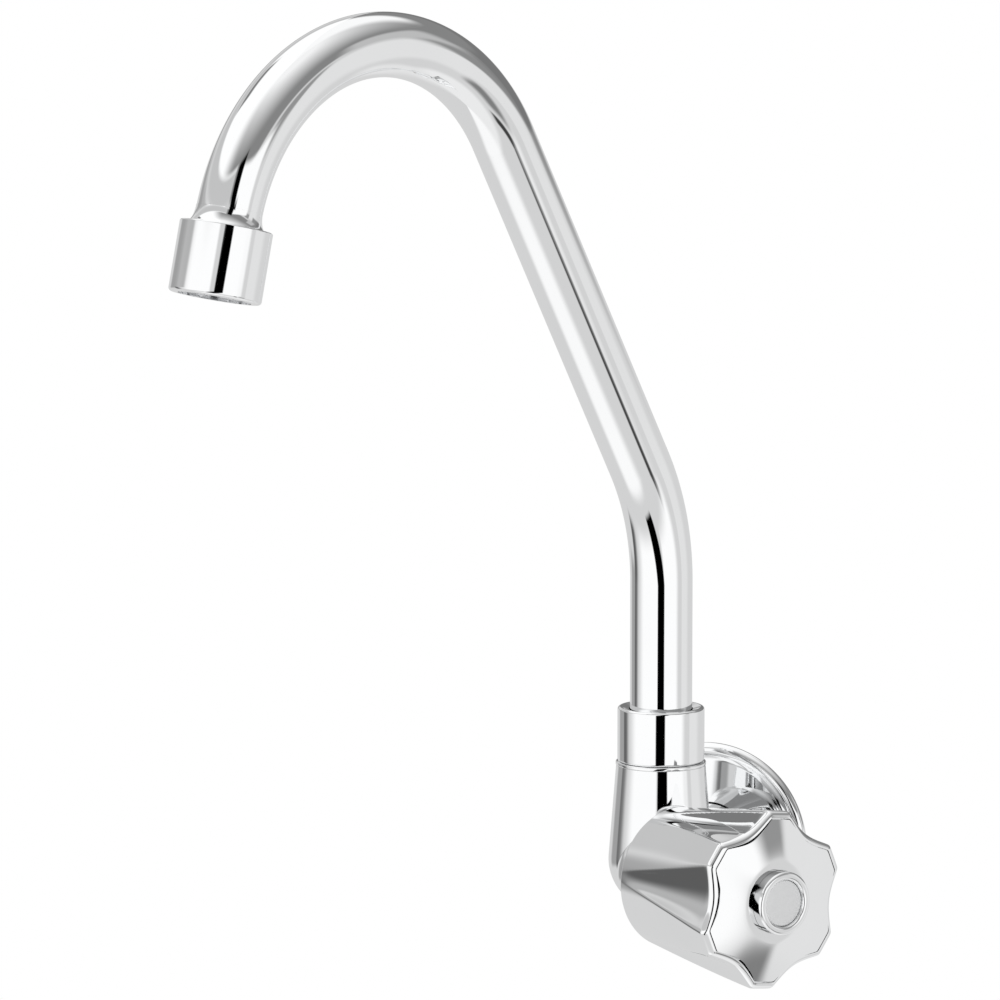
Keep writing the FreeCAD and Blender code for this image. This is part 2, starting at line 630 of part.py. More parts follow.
plate_low = seat_face + dim.seat_gap + dim.washer_t
plate_top = plate_low + dim.jumper_t
stem_top = plate_top + dim.jumper_stem
washer_low = seat_face + dim.seat_gap
screw_length = dim.washer_t + dim.jumper_t + dim.jumper_stem / 4
screw_hole = plate_low + screw_length - dim.washer_t + dim.fit
keep(turned("jumper", [
    (0, screw_hole), (dim.washer_screw_r + dim.fit, screw_hole), (dim.washer_screw_r + dim.fit, plate_low),
    (dim.jumper_r, plate_low), (dim.jumper_r, plate_top), (dim.jumper_stem_r, plate_top),
    (dim.jumper_stem_r, stem_top), (0, stem_top),
]), "jumper", valve)
keep(turned("seat_washer", tube_points(dim.washer_screw_r + dim.fit, dim.washer_r, washer_low, plate_low)),
     "seat_washer", valve)
keep(turned("washer_screw", [
    (0, washer_low - dim.washer_t / 2), (2 * dim.washer_screw_r, washer_low - dim.washer_t / 2),
    (2 * dim.washer_screw_r, washer_low), (dim.washer_screw_r, washer_low),
    (dim.washer_screw_r, washer_low + screw_length), (0, washer_low + screw_length),
]), "washer_screw", valve)

spindle_low = plate_top + dim.lift + dim.air
stem_hole = stem_top + dim.lift + dim.air
shank_hole = spindle_top - dim.screw_run - dim.air
collar_top = bore_top - dim.air
clip_low = bonnet_end + dim.air
clip_top = clip_low + dim.clip_t
clip_floor = dim.shaft_r - dim.clip_groove
ring_mid = collar_top - 3 * dim.spindle_ring_r
ring_floor = dim.spindle_r - 2 * dim.spindle_ring_r
keep(turned("spindle", [
    (dim.jumper_stem_r + dim.fit, spindle_low), (dim.spindle_r, spindle_low),
    (dim.spindle_r, ring_mid - dim.spindle_ring_r), (ring_floor, ring_mid - dim.spindle_ring_r),
    (ring_floor, ring_mid + dim.spindle_ring_r), (dim.spindle_r, ring_mid + dim.spindle_ring_r),
    (dim.spindle_r, collar_top), (dim.shaft_r, collar_top), (dim.shaft_r, clip_low),
    (clip_floor, clip_low), (clip_floor, clip_top), (dim.shaft_r, clip_top),
    (dim.shaft_r, spindle_top), (dim.screw_r + dim.fit, spindle_top), (dim.screw_r + dim.fit, shank_hole),
    (0, shank_hole), (0, stem_hole), (dim.jumper_stem_r + dim.fit, stem_hole),
]), "spindle", valve)
ring = o_ring("packing", dim.spindle_r - dim.spindle_ring_r, dim.spindle_ring_r - dim.fit / 2)
keep(ring, "spindle_ring", moved(valve, ring_mid))
clip_points = tube_points(clip_floor + dim.fit / 2, dim.clip_r, clip_low + dim.fit, clip_top - dim.fit)
keep(turned("clip", clip_points), "spindle_clip", valve)

# Handle: a hollow six-lobed shell, its splined insert and screw, and the button in its face
LOBES = 6
lobe_step = 2 * math.pi / LOBES
corner_turn = math.atan2(dim.lobe_flat.value, dim.lobe_r.value)
handle_clock = math.radians(dim.handle_clock.value)


def polar(radius, angle, height):
    return V(radius * math.cos(angle), radius * math.sin(angle), height)


def star(inset, height):
    """Six flat lobe tips with a scallop between each two, drawn in by inset."""
    corner_r = math.hypot(dim.lobe_r.value, dim.lobe_flat.value) - value_of(inset)
    edges = []
    for lobe in range(LOBES):
        turn = handle_clock + lobe * lobe_step
        first = polar(corner_r, turn - corner_turn, height.value)
        second = polar(corner_r, turn + corner_turn, height.value)
        dip = polar(dim.scallop_r.value - value_of(inset), turn + lobe_step / 2, height.value)
        third = polar(corner_r, turn + lobe_step - corner_turn, height.value)
        edges.append(Part.LineSegment(first, second).toShape())
        edges.append(Part.Arc(second, dip, third).toShape())
    return Part.Wire(edges)


def round_star(radius, height, flute_share):
    """A circle of six lobes and six flutes, which take a share of it."""
    half = lobe_step / 2 * (1 - flute_share)
    edges = []
    for lobe in range(LOBES):
        turn = handle_clock + lobe * lobe_step
        for start, end in ((-half, half), (half, lobe_step - half)):
            marks = [polar(radius.value, turn + a, height.value) for a in (start, (start + end) / 2, end)]
            edges.append(Part.Arc(*marks).toShape())
    return Part.Wire(edges)


def drum(radius, from_height, to_height):
    return Part.makeCylinder(radius.value, (to_height - from_height).value, V(0, 0, from_height.value))


face_edge = dim.rim_roll + 2 * dim.rim_line
back_flute_share = 0.1
hub_flute_share = 0.2
shell = Part.makeLoft([
    round_star(dim.handle_back_r - dim.skirt_edge, dim.handle_back, back_flute_share),
    round_star(dim.handle_back_r, dim.handle_back + dim.skirt_edge, back_flute_share),
    star(0, dim.handle_front - dim.rim_roll),
    star(dim.rim_roll / 3, dim.handle_front - dim.rim_roll / 3),
    star(dim.rim_roll, dim.handle_front),
    star(dim.rim_roll + dim.rim_line, dim.handle_front - dim.rim_line),
    star(face_edge, dim.handle_front),
    round_star(dim.button_r + dim.rim_roll, face_hub, hub_flute_share),
], True, True)
shell = shell.cut(drum(dim.cavity_r, dim.handle_back - dim.overrun, web_back))
shell = shell.fuse(drum(dim.hub_r, insert_low, web_back + dim.overrun))
shell = shell.cut(drum(dim.insert_r + dim.fit, insert_low - dim.overrun, web_back))
shell = shell.cut(drum(dim.screw_r + dim.air, web_back - dim.overrun, face_hub))
shell = shell.cut(drum(dim.screw_head_r + dim.air, head_low, face_hub))
shell = shell.cut(drum(dim.button_r + dim.fit, button_floor, face_hub + dim.overrun))
handle = doc.addObject("Part::Feature", "handle")
handle.Shape = shell.removeSplitter()
keep(handle, "handle_shell", valve)

keep(turned("splined", tube_points(dim.shaft_r + dim.fit, dim.insert_r, insert_low, web_back - dim.fit)),
     "handle_insert", valve)
keep(turned("handle_screw", [
    (0, spindle_top - dim.screw_run), (dim.screw_r, spindle_top - dim.screw_run), (dim.screw_r, head_low),
    (dim.screw_head_r, head_low), (dim.screw_head_r, head_top), (0, head_top),
]), "handle_screw", valve)
ring_top = face_hub + dim.button_proud
bezel = turned("bezel", tube_points(dim.button_disc_r + dim.fit, dim.button_r, button_floor, ring_top))
rounded(bezel, [(dim.button_r, ring_top), (dim.button_disc_r + dim.fit, ring_top)], dim.button_round)
keep(bezel, "button_ring", valve)
disc = turned("disc", [
    (0, button_floor), (dim.button_disc_r, button_floor), (dim.button_disc_r, ring_top - dim.button_drop),
    (0, ring_top - dim.button_drop),
])
keep(disc, "button_disc", valve)

# Every object has to have recomputed cleanly, and every sub-part has to be a sound solid
doc.recompute()
for item in doc.Objects:
    if "Invalid" in item.State or "Error" in item.State:
        raise RuntimeError("failed object: " + item.Label)
for piece in made:
    if piece.Shape.isNull() or not piece.Shape.isValid() or not piece.Shape.Solids:
        raise RuntimeError("bad shape: " + piece.Label)

os.makedirs("parts", exist_ok=True)
for piece in made:
    piece.Shape.exportStep(os.path.join("parts", piece.Label + ".step"))
    print(piece.Label, len(piece.Shape.Solids), round(piece.Shape.Volume, 1))
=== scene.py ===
import json
import math

import bmesh
import bpy
from mathutils import Matrix, Vector


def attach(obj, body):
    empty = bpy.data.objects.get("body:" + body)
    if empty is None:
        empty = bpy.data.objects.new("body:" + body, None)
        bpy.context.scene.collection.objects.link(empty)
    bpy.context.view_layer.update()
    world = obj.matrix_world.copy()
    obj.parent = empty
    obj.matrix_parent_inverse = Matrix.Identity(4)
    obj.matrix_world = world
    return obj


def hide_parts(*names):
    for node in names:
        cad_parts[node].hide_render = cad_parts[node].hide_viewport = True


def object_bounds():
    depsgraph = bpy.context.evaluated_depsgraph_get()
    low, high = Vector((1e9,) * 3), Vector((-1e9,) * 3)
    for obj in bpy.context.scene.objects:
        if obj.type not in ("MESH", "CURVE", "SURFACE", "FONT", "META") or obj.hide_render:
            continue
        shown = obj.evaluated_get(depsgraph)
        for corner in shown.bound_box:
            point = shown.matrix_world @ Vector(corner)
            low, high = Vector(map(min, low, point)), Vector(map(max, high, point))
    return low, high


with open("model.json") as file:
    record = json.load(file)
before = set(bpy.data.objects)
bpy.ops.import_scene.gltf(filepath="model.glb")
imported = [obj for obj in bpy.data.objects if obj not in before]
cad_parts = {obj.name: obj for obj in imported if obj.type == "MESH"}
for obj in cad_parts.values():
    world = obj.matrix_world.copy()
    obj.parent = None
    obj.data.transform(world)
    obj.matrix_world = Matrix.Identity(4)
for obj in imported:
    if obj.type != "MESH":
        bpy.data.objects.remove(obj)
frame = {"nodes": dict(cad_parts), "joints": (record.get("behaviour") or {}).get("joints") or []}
cad_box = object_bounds()

# Body casting: the hollow brass elbow that joins the neck, the inlet arm and the valve barrel.
# It is cast in one piece, turned at its seats, polished and plated with bright chrome.
MM = 0.001
WELD = 0.001 * MM
NEAR = 0.01 * MM
UP = Vector((0, 0, 1))
SPIN_STEPS = 128
ROUND_STEPS = 5
ARC_STEPS = 24
SHARP_ANGLE = math.radians(32)
MIX_SHARE, MIX_FIRST, MIX_SECOND, MIX_RESULT = 0, 6, 7, 2
speck_fineness = 12
speck_height = 0.2
joints = {joint["name"]: joint for joint in frame["joints"]}
swivel_foot = Vector(joints["spout_swivel"]["pos_m"])
neck_axis = Matrix.Translation(swivel_foot)
inlet_axis = Matrix(((1, 0, 0, 0), (0, 0, -1, 0), (0, 1, 0, 0), (0, 0, 0, 1)))


def axis_frame(across, along, foot):
    """A matrix whose local X and Z are the two directions, standing at foot."""
    basis = Matrix((across, along.cross(across), along)).transposed().to_4x4()
    return Matrix.Translation(foot) @ basis


valve_axis = axis_frame(UP, Vector(joints["handle_turn"]["axis"]).normalized(),
                        Vector(joints["handle_turn"]["pos_m"]))


class Shade:
    """A socket of a node tree, which can be added, multiplied and fed to other nodes."""

    def __init__(self, tree, socket=None):
        self.tree = tree
        self.socket = socket

    def make(self, kind, settings=None, inputs=None, output=0):
        node = self.tree.nodes.new(kind)
        for name, value in (settings or {}).items():
            setattr(node, name, value)
        for name, value in (inputs or {}).items():
            if isinstance(value, Shade):
                self.tree.links.new(value.socket, node.inputs[name])
            else:
                node.inputs[name].default_value = value
        return Shade(self.tree, node.outputs[output])

    def maths(self, work, left, right):
        return self.make("ShaderNodeMath", {"operation": work}, {0: left, 1: right})

    def __add__(self, other):
        return self.maths("ADD", self, other)

    def __radd__(self, other):
        return self.maths("ADD", other, self)

    def __sub__(self, other):
        return self.maths("SUBTRACT", self, other)

    def __rsub__(self, other):
        return self.maths("SUBTRACT", other, self)

    def __mul__(self, other):
        return self.maths("MULTIPLY", self, other)

    def __rmul__(self, other):
        return self.maths("MULTIPLY", other, self)

    def feeds(self, node, name):
        self.tree.links.new(self.socket, node.inputs[name])


def metal(name, pale, dark, smooth, rough, grain, ripple):
    """A metal whose tint, gloss and surface waver a little over the piece."""
    material = bpy.data.materials.new(name)
    material.use_nodes = True
    tree = material.node_tree
    shader = tree.nodes["Principled BSDF"]
    shader.inputs["Metallic"].default_value = 1
    place = Shade(tree).make("ShaderNodeTexCoord", output="Object")
    cloud = place.make("ShaderNodeTexNoise", inputs={"Vector": place, "Scale": grain, "Detail": 4})
    speck = place.make("ShaderNodeTexNoise", inputs={
        "Vector": place, "Scale": grain * speck_fineness, "Detail": 2})
    tint = place.make("ShaderNodeMix", {"data_type": "RGBA"}, {
        MIX_SHARE: cloud, MIX_FIRST: dark, MIX_SECOND: pale}, output=MIX_RESULT)
    tint.feeds(shader, "Base Color")
    (smooth + (rough - smooth) * (cloud * 0.5 + speck * 0.5)).feeds(shader, "Roughness")
    wave = place.make("ShaderNodeBump", inputs={
        "Height": cloud + speck_height * speck, "Distance": ripple * MM, "Strength": 1})
    wave.feeds(shader, "Normal")
    return material


chrome = metal("bright_chrome", (0.97, 0.975, 0.98, 1), (0.93, 0.935, 0.94, 1),
               smooth=0.015, rough=0.05, grain=35, ripple=0.004)


def turned(outline, axis, rounds=()):
    """A closed outline of (radius, height) corners in mm, spun about the axis, with rounded corners."""
    shape = bmesh.new()
    corners = [shape.verts.new((radius * MM, 0, height * MM)) for radius, height in outline]
    for first, second in zip(corners, corners[1:] + corners[:1]):
        shape.edges.new((first, second))
    bmesh.ops.spin(shape, geom=shape.verts[:] + shape.edges[:], cent=(0, 0, 0), axis=(0, 0, 1),
                   angle=2 * math.pi, steps=SPIN_STEPS, use_merge=True)
    bmesh.ops.remove_doubles(shape, verts=shape.verts, dist=WELD)
    bmesh.ops.dissolve_degenerate(shape, edges=shape.edges, dist=WELD)
    bmesh.ops.recalc_face_normals(shape, faces=shape.faces)
    for radius, height, size in rounds:
        def on_corner(vert):
            beside = abs(math.hypot(vert.co.x, vert.co.y) - radius * MM) < NEAR
            return beside and abs(vert.co.z - height * MM) < NEAR
        ring = [edge for edge in shape.edges if on_corner(edge.verts[0]) and on_corner(edge.verts[1])]
        bmesh.ops.bevel(shape, geom=ring, offset=size * MM, offset_type="OFFSET", segments=ROUND_STEPS,
                        profile=0.5, affect="EDGES", material=-1)
    shape.transform(axis)
    return shape


def piece(name, material, body, slot, node, *shapes):
    """Joins shapes into one smooth object that stands for a node of the frame."""
    whole = bmesh.new()
    for shape in shapes:
        part = bpy.data.meshes.new("part")
        shape.to_mesh(part)
        whole.from_mesh(part)
        bpy.data.meshes.remove(part)
        shape.free()
    mesh = bpy.data.meshes.new(name)
    whole.to_mesh(mesh)
    whole.free()
    mesh.shade_smooth()
    mesh.set_sharp_from_angle(angle=SHARP_ANGLE)
    mesh.materials.append(material)
    made = bpy.data.objects.new(name, mesh)
    bpy.context.scene.collection.objects.link(made)
    evened = made.modifiers.new("even_normals", "WEIGHTED_NORMAL")
    evened.keep_sharp = True
    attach(made, body)
    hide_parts(node)


def arc(middle_r, middle_h, radius, start, end, steps=ARC_STEPS):
    """Points of a round stretch of an outline, from start to end in degrees."""
    angles = [math.radians(start + (end - start) * step / steps) for step in range(steps + 1)]
    return [(middle_r + radius * math.cos(angle), middle_h + radius * math.sin(angle))
            for angle in angles]


elbow_r = 15.1
elbow_rise = 2.5
neck_top_r = 12.95
neck_top = 31.3
bead_r = 13.1
bead_low = 30.2
bead_round = 0.3
spigot_r = 11
spigot_top = 40
bore_r = 9.6
bore_low = 20.5
arm_r = 12
arm_gap = 2.2
arm_reach = -swivel_foot.y / MM
arm_root = arm_reach - elbow_r
arm_fillet = ((0, -1.5), (0.6, 1), (1.6, 3.5))
socket_r = 8.5
socket_end = arm_gap + 11
barrel_r = 13.5
barrel_front = 24
barrel_shoulder = 6
barrel_back_r = 10
barrel_tip = -4
chamber_r = 10.5
chamber_floor = 10
end_round = 0.5
neck_shell = turned(
    [(0, elbow_rise - elbow_r)] + arc(0, elbow_rise, elbow_r, -85, 5)
    + [(neck_top_r, bead_low), (bead_r, bead_low), (bead_r, neck_top), (spigot_r, neck_top),
       (spigot_r, spigot_top), (bore_r, spigot_top), (bore_r, bore_low), (0, bore_low)],
    neck_axis, [(bead_r, bead_low, bead_round), (bead_r, neck_top, bead_round)])
arm_shell = turned(
    [(socket_r, arm_gap), (arm_r, arm_gap)]
    + [(arm_r + wider, arm_root + further) for wider, further in arm_fillet]
    + [(arm_r, arm_reach), (0, arm_reach), (0, socket_end), (socket_r, socket_end)],
    inlet_axis, [(arm_r, arm_gap, end_round)])
barrel_shell = turned(
    [(0, barrel_tip), (barrel_back_r, 0), (barrel_r, barrel_shoulder), (barrel_r, barrel_front),
     (chamber_r, barrel_front), (chamber_r, chamber_floor), (0, chamber_floor)],
    valve_axis, [(barrel_r, barrel_front, end_round)])
piece("faucet_body", chrome, "body", "chrome", "body_casting", neck_shell, arm_shell, barrel_shell)

# Inlet nipple and its seal: a half inch pipe thread turned in brass, screwed into the arm.
# A red fibre washer is squeezed between the arm's end and the nipple's shoulder.
brass = metal("turned_brass", (0.80, 0.63, 0.33, 1), (0.68, 0.50, 0.24, 1),
              smooth=0.22, rough=0.42, grain=180, ripple=0.02)


def soft_stuff(name, pale, dark, **finish):
    """Rubber, fibre or moulded plastic, with a mottled tint and a fine matt grain."""
    material = metal(name, pale, dark, **finish)
    material.node_tree.nodes["Principled BSDF"].inputs["Metallic"].default_value = 0
    return material


def coat(material, *nodes):
    """Gives nodes that keep their own mesh a finish."""
    for node in nodes:
        slots = frame["nodes"][node].data.materials
        slots.clear()
        slots.append(material)


fibre = soft_stuff("red_fibre", (0.46, 0.12, 0.08, 1), (0.30, 0.06, 0.04, 1),
                   smooth=0.55, rough=0.85, grain=260, ripple=0.03)
coat(brass, "inlet_nipple")
coat(fibre, "inlet_seal", "bonnet_gasket")

# Wall flange: a rose spun from brass sheet, with a dished face and a rounded rim that narrows to
# the wall. It is chromed and slides on the arm, where a rubber ring inside grips it.
slide_gap = 0.3
flange_r = 30
flange_h = 6.4
flange_wall = 1.4
flange_dish = 1.3
flange_face = flange_h - flange_dish
flange_back = flange_face - flange_wall
flange_hole_r = arm_r + slide_gap
grip_width = 1.65
groove_r = arm_r + grip_width
groove_top = arm_gap + grip_width
boss_r = groove_r + flange_wall
rim_round = 2
rim_taper = 1.8
rim_foot_r = flange_r - rim_taper
rim_back_r = rim_foot_r - flange_wall
dish_r = rim_back_r - flange_dish
dish_round = 0.8
flange_shell = turned(
    [(groove_r, arm_gap), (boss_r, arm_gap), (boss_r, flange_back), (rim_back_r, flange_back),
     (rim_back_r, 0), (rim_foot_r, 0)]
    + arc(flange_r - rim_round, flange_h - rim_round, rim_round, -40, 150)
    + [(dish_r, flange_face), (flange_hole_r, flange_face), (flange_hole_r, groove_top),
       (groove_r, groove_top)],
    inlet_axis, [(dish_r, flange_face, dish_round)])
piece("wall_rose", chrome, "body", "chrome", "wall_flange", flange_shell)
rubber = soft_stuff("black_rubber", (0.045, 0.045, 0.045, 1), (0.02, 0.02, 0.02, 1),
                    smooth=0.5, rough=0.75, grain=240, ripple=0.02)
coat(rubber, "flange_grip_ring", "tail_ring_lower", "tail_ring_upper", "seat_washer", "spindle_ring",
     "aerator_washer")

# Valve works: seat, bonnet, spindle and jumper turned from brass bar, all on the valve's axis.
# The bonnet screws into the barrel; a steel clip keeps the spindle in, and a screw holds the washer.
steel = metal("drawn_steel", (0.66, 0.67, 0.69, 1), (0.54, 0.55, 0.57, 1),
              smooth=0.2, rough=0.38, grain=220, ripple=0.01)
coat(brass, "valve_seat", "bonnet", "jumper", "spindle", "spout_tail", "spout_ferrule", "handle_insert")
coat(steel, "spindle_clip", "washer_screw", "handle_screw", "aerator_screen")

# Handle: a hollow die-cast knob with six lobes, plated with bright chrome. Its round skirt has
# six flutes that widen to the scalloped front. A rolled rim runs round the coned face, with a
# narrow gap between them.
LOBES = 6
COLUMNS = LOBES * 72
SKIRT_RINGS = 26
FACE_RINGS = 12
ROLL_STEPS = 7
EDGE_STEPS = 5
lobe_turn = 2 * math.pi / LOBES
handle_clock = math.radians(-7)
lobe_r = 25.5
lobe_flat = 3.7
lobe_onset = 3
scallop_r = 22
crease = 0.3
flute_start = 0.2
handle_back = 14.5
handle_back_r = 20.4
handle_front = 58.8
skirt_edge = 0.8
rim_roll = 2
face_gap = 0.3
face_gap_depth = 2.2
face_dome = 2.5
face_bulge = 1.15
cavity_r = 17.6
web_back = 54
hub_r = 9
hub_low = 44
insert_r = 6.55
screw_hole_r = 2.2
screw_seat = 55.6
screw_head_r = 3.9
button_r = 9.15
button_depth = 3
face_hub = handle_front + face_dome
button_floor = face_hub - button_depth
corner_r = math.hypot(lobe_r, lobe_flat)
lobe_half = math.atan2(lobe_flat, lobe_r)
face_hub_r = button_r + rim_roll
face_inset = rim_roll + face_gap


def lobed_r(angle, growth):
    """Radius of the knob at an angle: round where growth is 0, with flat lobes and full flutes at 1."""
    off_flute = abs((angle - handle_clock) % lobe_turn - lobe_turn / 2)
    off_lobe = lobe_turn / 2 - off_flute
    flute_half = (lobe_turn / 2 - lobe_half) * (flute_start + (1 - flute_start) * growth)
    round_r = handle_back_r + (corner_r - handle_back_r) * growth
    if growth == 0:
        return round_r
    flat = 1 - math.cos(lobe_half) / math.cos(min(off_lobe, lobe_half))
    dip = (corner_r - scallop_r) * growth * (1 - (off_flute / flute_half) ** 2)
    soft_dip = (dip + math.hypot(dip, crease * growth)) / 2
    return round_r * (1 - flat * growth ** lobe_onset) - soft_dip


angles = [2 * math.pi * number / COLUMNS for number in range(COLUMNS)]


def ring_of(radii, heights):
    return [(radius * math.cos(angle), radius * math.sin(angle), height)
            for angle, radius, height in zip(angles, radii, heights)]


def circle_ring(radius, height):
    return ring_of([radius] * COLUMNS, [height] * COLUMNS)


def star_ring(growth, inset, height):
    return ring_of([lobed_r(angle, growth) - inset for angle in angles], [height] * COLUMNS)


def face_height(radius):
    """The face is a shallow cone that bulges a little, higher at the button."""
    share = (radius - face_hub_r) / (corner_r - face_inset - face_hub_r)
    return face_hub - face_dome * share ** face_bulge


skirt_low = handle_back + skirt_edge
skirt_high = handle_front - rim_roll
rings = [circle_ring(radius, height) for radius, height in
         arc(handle_back_r - skirt_edge, skirt_low, skirt_edge, -90, -15, EDGE_STEPS)]
for step in range(SKIRT_RINGS + 1):
    growth = step / SKIRT_RINGS
    rings.append(star_ring(growth, 0, skirt_low + (skirt_high - skirt_low) * growth))
for step in range(1, ROLL_STEPS + 1):
    bend = math.pi / 2 * step / ROLL_STEPS
    rings.append(star_ring(1, rim_roll * (1 - math.cos(bend)),
                           handle_front - rim_roll * (1 - math.sin(bend))))
for inset in (rim_roll, face_inset):
    rings.append(star_ring(1, inset, handle_front - face_gap_depth))
edge_radii = [lobed_r(angle, 1) - face_inset for angle in angles]
for step in range(FACE_RINGS + 1):
    share = step / FACE_RINGS
    radii = [edge + (face_hub_r - edge) * share for edge in edge_radii]
    rings.append(ring_of(radii, [face_height(radius) for radius in radii]))
rings += [circle_ring(radius, height) for radius, height in (
    (button_r, face_hub), (button_r, button_floor), (screw_head_r, button_floor),
    (screw_head_r, screw_seat), (screw_hole_r, screw_seat), (screw_hole_r, web_back),
    (insert_r, web_back), (insert_r, hub_low), (hub_r, hub_low), (hub_r, web_back),
    (cavity_r, web_back), (cavity_r, handle_back))]

knob = bmesh.new()
bmesh.ops.create_circle(knob, segments=COLUMNS, radius=handle_back_r * MM)
column_mark = knob.verts.layers.int.new("column")
for vert in knob.verts:
    vert[column_mark] = round(math.atan2(vert.co.y, vert.co.x) / (2 * math.pi) * COLUMNS) % COLUMNS


def shape_ring(verts, ring):
    for vert in verts:
        vert.co = Vector(ring[vert[column_mark]]) * MM


shape_ring(knob.verts, rings[0])
first_edges = knob.edges[:]
last_edges = first_edges
for ring in rings[1:]:
    grown = bmesh.ops.extrude_edge_only(knob, edges=last_edges)["geom"]
    new_verts = {item for item in grown if isinstance(item, bmesh.types.BMVert)}
    shape_ring(new_verts, ring)
    last_edges = [item for item in grown if isinstance(item, bmesh.types.BMEdge)
                  and item.verts[0] in new_verts and item.verts[1] in new_verts]
bmesh.ops.bridge_loops(knob, edges=first_edges + last_edges)
bmesh.ops.recalc_face_normals(knob, faces=knob.faces)
knob.transform(valve_axis)
piece("lobed_handle", chrome, "handle", "chrome", "handle_shell", knob)

# Button: a chromed ring pressed into the handle's face over the screw, with a satin disc in it.
# The disc is aluminium, blasted to a soft grey sheen, and sits a little below the ring's top.
fit_gap = 0.05
ring_r = button_r - fit_gap
ring_rise = 3.4
ring_round = 0.9
ring_top = face_hub + ring_rise
disc_r = 6.6
disc_sink = 0.8
disc_dome = 0.25
disc_round = 0.3
disc_top = ring_top - disc_sink
disc_edge = disc_top - disc_dome
ring_hole_r = disc_r + fit_gap
ring_shell = turned(
    [(ring_hole_r, button_floor), (ring_r, button_floor), (ring_r, ring_top), (ring_hole_r, ring_top)],
    valve_axis, [(ring_r, ring_top, ring_round), (ring_hole_r, ring_top, ring_round)])
piece("button_surround", chrome, "handle", "chrome", "button_ring", ring_shell)
satin = metal("blasted_satin", (0.93, 0.935, 0.94, 1), (0.85, 0.855, 0.86, 1),
              smooth=0.34, rough=0.46, grain=400, ripple=0.02)
disc_shell = turned([(0, button_floor), (disc_r, button_floor), (disc_r, disc_edge), (0, disc_top)],
                    valve_axis, [(disc_r, disc_edge, disc_round)])
piece("button_face", satin, "handle", "satin_button", "button_disc", disc_shell)

# Swivel nut: a smooth round nut, turned from brass and chromed, screwed on the neck's spigot.
# Its lip holds the spout's tail down, with a white glide washer between them.
nut_r = 12.6
nut_h = 15.9
nut_rim = 1.3
nut_recess = 0.6
nut_lip = 2.2
nut_round = 0.7
nut_bore_r = spigot_r + fit_gap
nut_top = neck_top + nut_h
lip_top = nut_top - nut_recess
lip_low = lip_top - nut_lip
tube_r = 9
lip_hole_r = tube_r + slide_gap
nut_shell = turned(
    [(nut_bore_r, neck_top), (nut_r, neck_top), (nut_r, nut_top), (nut_r - nut_rim, nut_top),
     (lip_hole_r, lip_top), (lip_hole_r, lip_low), (nut_bore_r, lip_low)],
    neck_axis, [(nut_r, nut_top, nut_round), (nut_r, neck_top, nut_round)])
piece("spout_nut", chrome, "body", "chrome", "swivel_nut", nut_shell)
plastic = soft_stuff("white_moulding", (0.84, 0.85, 0.86, 1), (0.76, 0.77, 0.78, 1),
                     smooth=0.38, rough=0.5, grain=300, ripple=0.008)
coat(plastic, "glide_washer", "aerator_insert")

# Spout: a seamless brass tube, bent on a mandrel to a slanted run and a wide gooseneck.
# It is polished, chromed and soldered to the tail that turns in the neck.
TUBE_SIDES = 96
BEND_STEPS = 24
GOOSE_STEPS = 110
tube_wall = 1.2
tube_low = 43.3
bend_z = 102.6
bend_r = 70
slant = math.radians(30.1)
slant_run = 131.1
goose_r = 58.1
outlet_tilt = math.radians(13.8)
outlet_run = 21.2
tube_end_up = 6.45
yaw = math.radians(21)
spout_way = Vector((-math.sin(yaw), -math.cos(yaw), 0))
spout_plane = axis_frame(spout_way, UP, swivel_foot)
trim = bend_r * math.tan(slant / 2)
slant_way = Vector((math.sin(slant), 0, math.cos(slant)))
goose_start = Vector((0, 0, bend_z)) + slant_way * slant_run
goose_middle = goose_start + Vector((math.cos(slant), 0, -math.sin(slant))) * goose_r
outlet_way = Vector((math.sin(outlet_tilt), 0, -math.cos(outlet_tilt)))
goose_end = goose_middle + Vector((math.cos(outlet_tilt), 0, math.sin(outlet_tilt))) * goose_r
outlet_tip = goose_end + outlet_way * outlet_run

tube = bmesh.new()
bmesh.ops.create_circle(tube, segments=TUBE_SIDES, radius=tube_r * MM)
bmesh.ops.translate(tube, vec=Vector((0, 0, tube_low)) * MM, verts=tube.verts)


def push(edges, way):
    """Draws the tube's open end straight on."""
    grown = bmesh.ops.extrude_edge_only(tube, edges=edges)["geom"]
    ends = [item for item in grown if isinstance(item, bmesh.types.BMVert)]
    bmesh.ops.translate(tube, vec=way * MM, verts=ends)
    return [edge for edge in grown if isinstance(edge, bmesh.types.BMEdge)
            and edge.verts[0] in ends and edge.verts[1] in ends]


def bend_on(edges, middle, angle, steps):
    """Bends the tube's open end round a point of the spout's plane."""
    grown = bmesh.ops.spin(tube, geom=edges, cent=middle * MM, axis=(0, 1, 0), angle=angle, steps=steps)
    return [item for item in grown["geom_last"] if isinstance(item, bmesh.types.BMEdge)]


mouth = push(tube.edges[:], Vector((0, 0, bend_z - trim - tube_low)))
mouth = bend_on(mouth, Vector((bend_r, 0, bend_z - trim)), slant, BEND_STEPS)
mouth = push(mouth, slant_way * (slant_run - trim))
mouth = bend_on(mouth, goose_middle, math.pi - slant - outlet_tilt, GOOSE_STEPS)
push(mouth, outlet_way * (outlet_run - tube_end_up))
bmesh.ops.recalc_face_normals(tube, faces=tube.faces)
bmesh.ops.solidify(tube, geom=tube.faces[:], thickness=tube_wall * MM)
tube.transform(spout_plane)
piece("gooseneck", chrome, "spout", "chrome", "spout_tube", tube)

